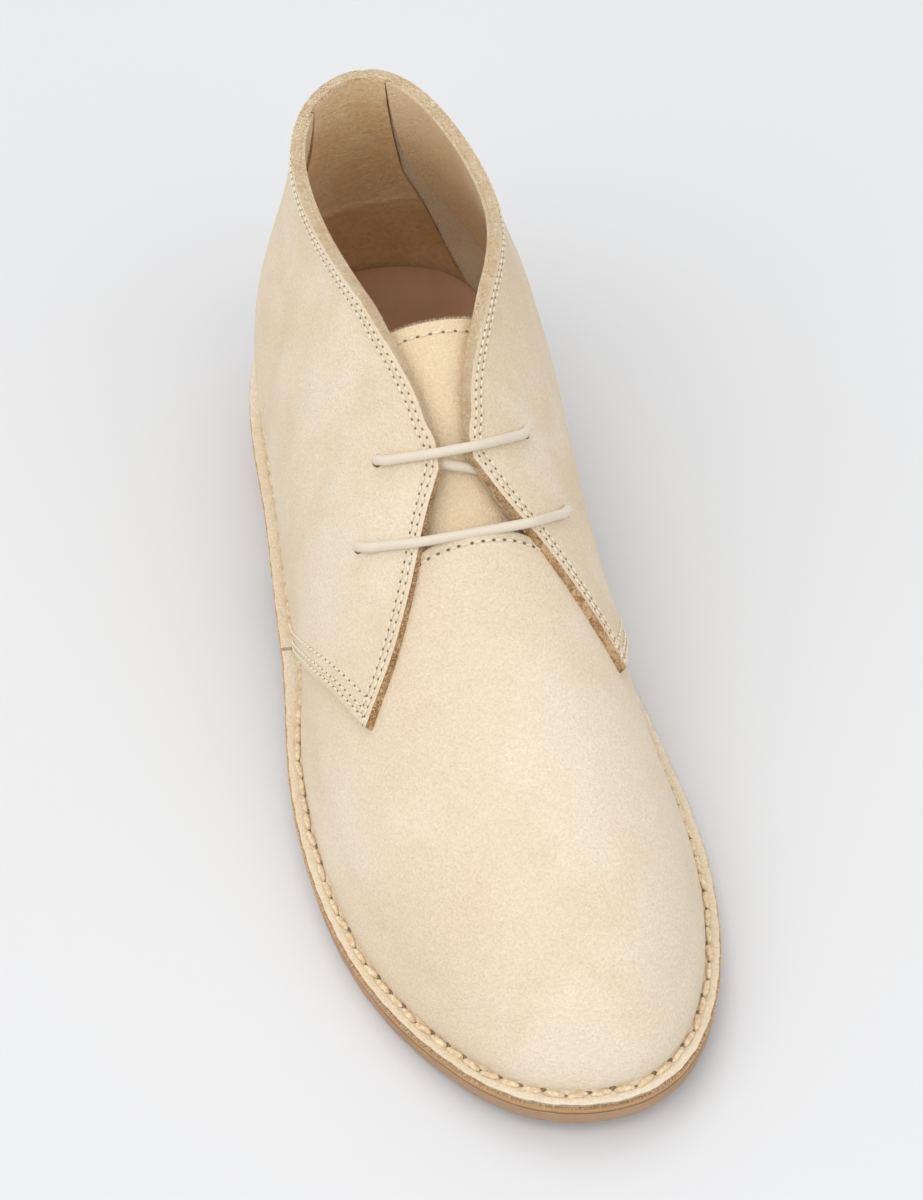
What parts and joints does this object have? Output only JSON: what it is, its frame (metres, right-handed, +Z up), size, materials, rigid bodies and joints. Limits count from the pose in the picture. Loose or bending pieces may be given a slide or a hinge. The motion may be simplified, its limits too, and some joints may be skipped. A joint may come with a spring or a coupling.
{
  "type": "chukka boot",
  "caption": "Ankle-high suede lace-up boot: plain vamp under open quarters, turned-out stitched edge, crepe sole and low heel, hollow and open at the collar.",
  "frame": {"origin": "middle of the boot's box, on the floor that the heel and forefoot stand on", "axes": "+Z up, toe towards -Y and heel towards +Y, medial (big toe) side towards +X"},
  "size_m": [0.1064, 0.3006, 0.1159],
  "materials": {
    "suede": "sand suede, matt, brushed nap",
    "insole": "smooth brown leather",
    "midsole": "thin tan leather board",
    "crepe": "brown crepe rubber, satin edge",
    "lace": "round waxed cotton, off-white"
  },
  "bodies": {
    "root": {"outsole": "crepe", "heel": "crepe", "midsole": "midsole", "insole": "insole", "upper": "suede", "tongue": "suede", "lace": "lace"}
  },
  "joints": []
}
